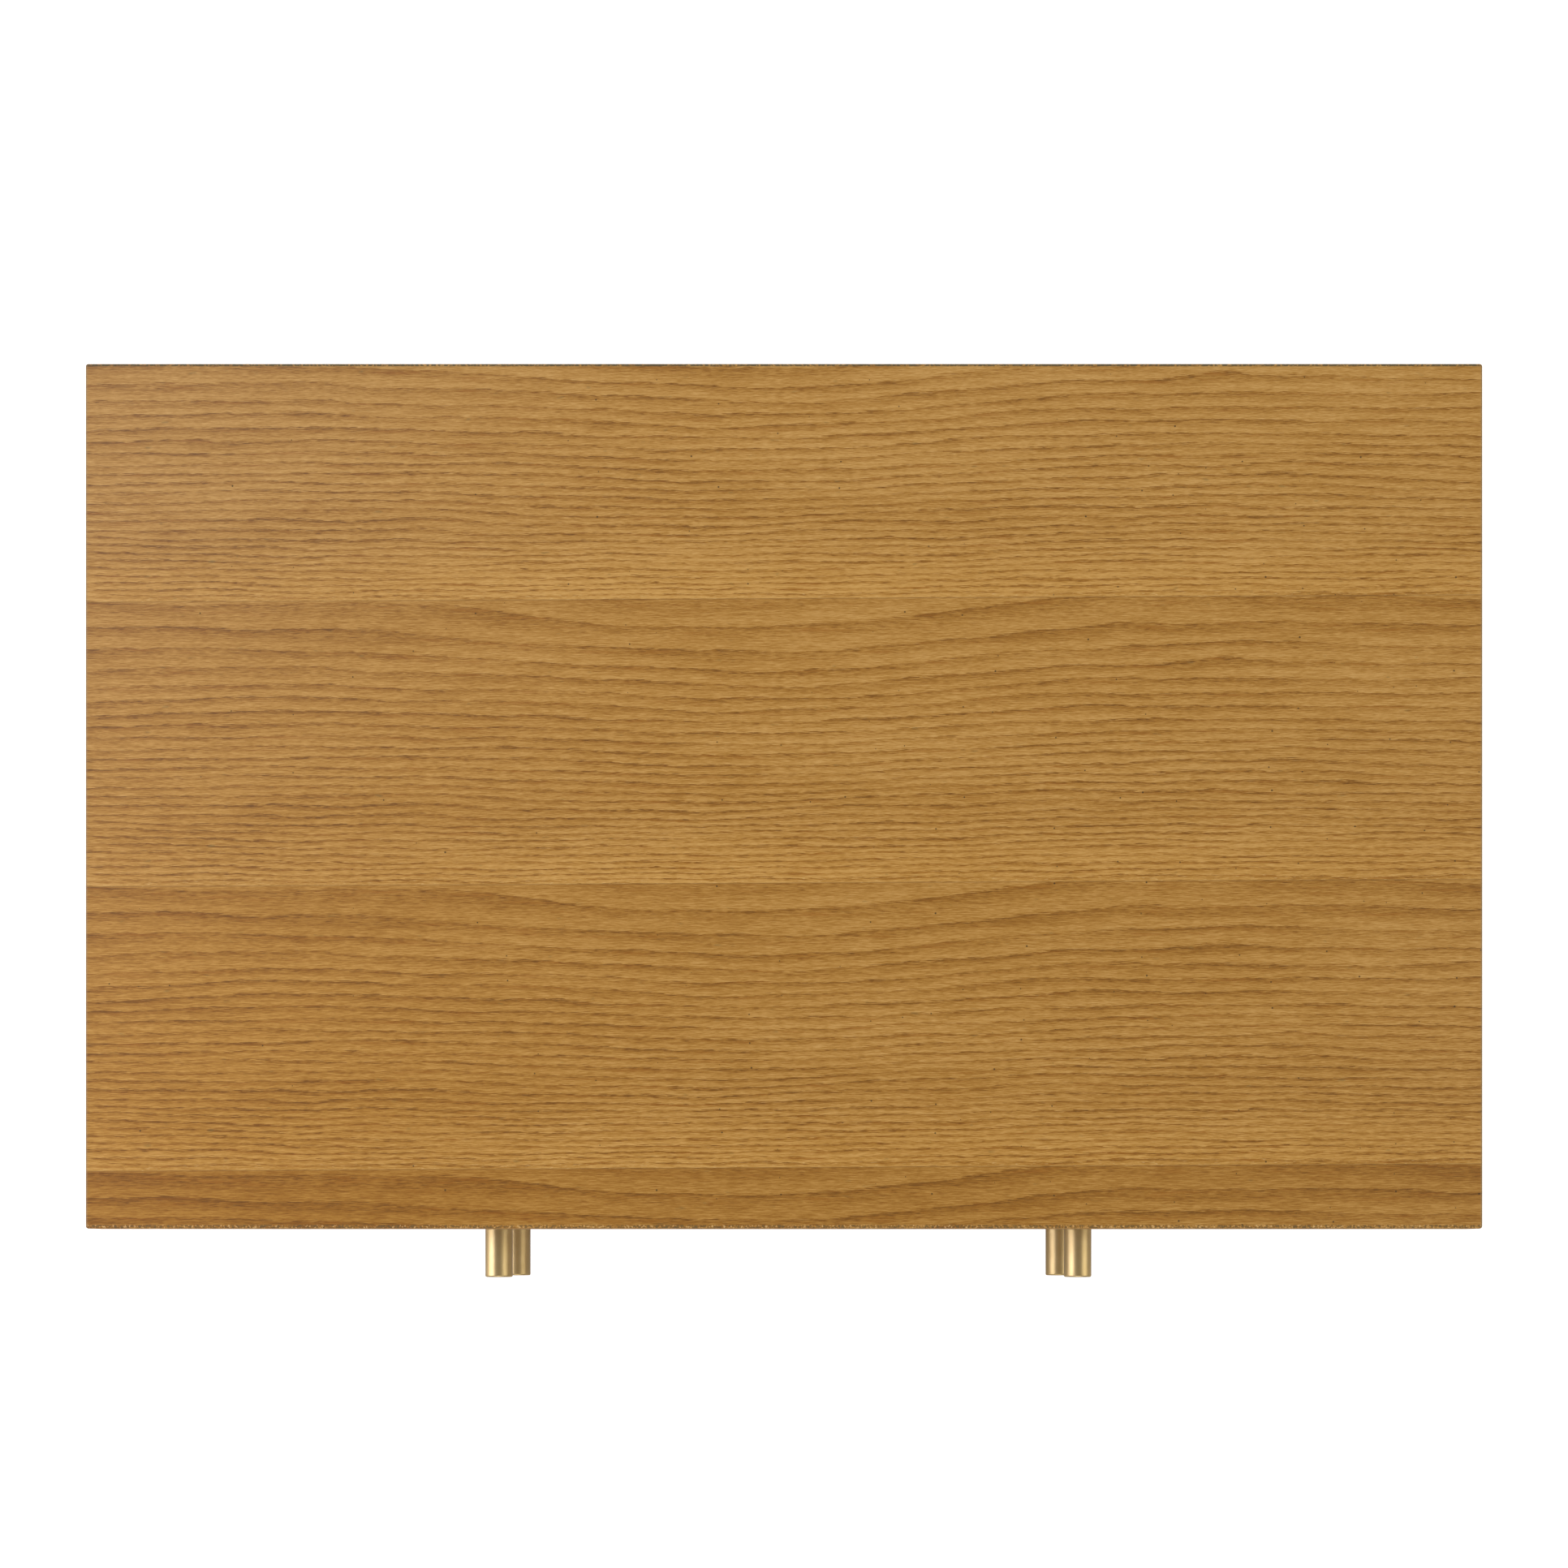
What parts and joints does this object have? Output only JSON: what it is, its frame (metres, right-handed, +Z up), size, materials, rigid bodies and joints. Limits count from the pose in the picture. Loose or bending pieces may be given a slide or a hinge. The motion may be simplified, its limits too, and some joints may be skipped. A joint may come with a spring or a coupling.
{
  "type": "type case",
  "caption": "Low oak-veneered cabinet whose shallow drawers are compartmented trays for metal type, with small brass cylinder knobs, ball-bearing slides and turned feet.",
  "frame": {"origin": "on the floor, under the middle of the whole object's box, knobs included", "axes": "+Z up, +X to the right as seen from the front, the drawers open towards -Y"},
  "size_m": [0.73, 0.478, 0.212],
  "materials": {
    "top_veneer": "sliced oak veneer, slip matched, satin lacquer",
    "top_lipping": "solid oak edge strip, satin lacquer",
    "core_board": "medium-density fibreboard",
    "backing_veneer": "plain oak backing veneer",
    "case_oak": "oak veneered board, satin lacquer",
    "case_lipping": "solid oak edge strip, satin lacquer",
    "back_board": "oak-faced plywood, satin lacquer",
    "beech_dowel": "turned beech",
    "foot_oak": "turned oak, satin lacquer",
    "felt": "pressed wool felt",
    "front_oak": "oak veneered board, satin lacquer",
    "tray_beech": "solid beech, waxed",
    "tray_bottom": "birch plywood",
    "section_bar": "solid beech, waxed",
    "partition": "thin maple strip, unfinished",
    "knob_brass": "satin brushed brass",
    "slide_steel": "zinc plated",
    "cage_steel": "zinc plated",
    "ball_steel": "polished bearing steel",
    "zinc_screw": "zinc plated"
  },
  "bodies": {
    "cabinet": {"top_core_board": "core_board", "top_backing_veneer": "backing_veneer", "top_face_veneer": "top_veneer", "top_edge_lippings": "top_lipping", "left_side_board": "case_oak", "right_side_board": "case_oak", "bottom_board": "case_oak", "case_front_lippings": "case_lipping", "back_board": "back_board", "back_board_screws": "zinc_screw", "case_dowels": "beech_dowel", "feet": "foot_oak", "foot_pads": "felt", "foot_screws": "zinc_screw", "slide_screws_in_case": "zinc_screw", "lower_slide_outer_channels": "slide_steel", "upper_slide_outer_channels": "slide_steel"},
    "lower_drawer": {"lower_drawer_front": "front_oak", "lower_tray_left_wall": "tray_beech", "lower_tray_right_wall": "tray_beech", "lower_tray_front_wall": "tray_beech", "lower_tray_back_wall": "tray_beech", "lower_tray_bottom": "tray_bottom", "lower_section_bars": "section_bar", "lower_lengthwise_partitions": "partition", "lower_crosswise_partitions": "partition", "lower_knob_left": "knob_brass", "lower_knob_right": "knob_brass", "lower_knob_screws": "zinc_screw", "lower_front_screws": "zinc_screw", "lower_slide_screws_in_tray": "zinc_screw", "lower_slide_inner_channels": "slide_steel"},
    "lower_slide_middles": {"lower_slide_middle_channels": "slide_steel"},
    "lower_outer_cages": {"lower_slide_outer_ball_cages": "cage_steel", "lower_slide_outer_balls": "ball_steel"},
    "lower_inner_cages": {"lower_slide_inner_ball_cages": "cage_steel", "lower_slide_inner_balls": "ball_steel"},
    "upper_drawer": {"upper_drawer_front": "front_oak", "upper_tray_left_wall": "tray_beech", "upper_tray_right_wall": "tray_beech", "upper_tray_front_wall": "tray_beech", "upper_tray_back_wall": "tray_beech", "upper_tray_bottom": "tray_bottom", "upper_section_bars": "section_bar", "upper_lengthwise_partitions": "partition", "upper_crosswise_partitions": "partition", "upper_knob_left": "knob_brass", "upper_knob_right": "knob_brass", "upper_knob_screws": "zinc_screw", "upper_front_screws": "zinc_screw", "upper_slide_screws_in_tray": "zinc_screw", "upper_slide_inner_channels": "slide_steel"},
    "upper_slide_middles": {"upper_slide_middle_channels": "slide_steel"},
    "upper_outer_cages": {"upper_slide_outer_ball_cages": "cage_steel", "upper_slide_outer_balls": "ball_steel"},
    "upper_inner_cages": {"upper_slide_inner_ball_cages": "cage_steel", "upper_slide_inner_balls": "ball_steel"}
  },
  "joints": [
    {"name": "lower_drawer_slide", "type": "slide", "parent": "cabinet", "child": "lower_drawer", "axis": [0, -1, 0], "range_m": [0, 0.4]},
    {"name": "lower_slide_middles_slide", "type": "slide", "parent": "cabinet", "child": "lower_slide_middles", "axis": [0, -1, 0], "range_m": [0, 0.2]},
    {"name": "lower_outer_cages_slide", "type": "slide", "parent": "cabinet", "child": "lower_outer_cages", "axis": [0, -1, 0], "range_m": [0, 0.1]},
    {"name": "lower_inner_cages_slide", "type": "slide", "parent": "cabinet", "child": "lower_inner_cages", "axis": [0, -1, 0], "range_m": [0, 0.3]},
    {"name": "upper_drawer_slide", "type": "slide", "parent": "cabinet", "child": "upper_drawer", "axis": [0, -1, 0], "range_m": [0, 0.4]},
    {"name": "upper_slide_middles_slide", "type": "slide", "parent": "cabinet", "child": "upper_slide_middles", "axis": [0, -1, 0], "range_m": [0, 0.2]},
    {"name": "upper_outer_cages_slide", "type": "slide", "parent": "cabinet", "child": "upper_outer_cages", "axis": [0, -1, 0], "range_m": [0, 0.1]},
    {"name": "upper_inner_cages_slide", "type": "slide", "parent": "cabinet", "child": "upper_inner_cages", "axis": [0, -1, 0], "range_m": [0, 0.3]}
  ],
  "couplings": [
    {"joint": "lower_slide_middles_slide", "follows": "lower_drawer_slide", "ratio": 0.5},
    {"joint": "lower_outer_cages_slide", "follows": "lower_drawer_slide", "ratio": 0.25},
    {"joint": "lower_inner_cages_slide", "follows": "lower_drawer_slide", "ratio": 0.75},
    {"joint": "upper_slide_middles_slide", "follows": "upper_drawer_slide", "ratio": 0.5},
    {"joint": "upper_outer_cages_slide", "follows": "upper_drawer_slide", "ratio": 0.25},
    {"joint": "upper_inner_cages_slide", "follows": "upper_drawer_slide", "ratio": 0.75}
  ]
}
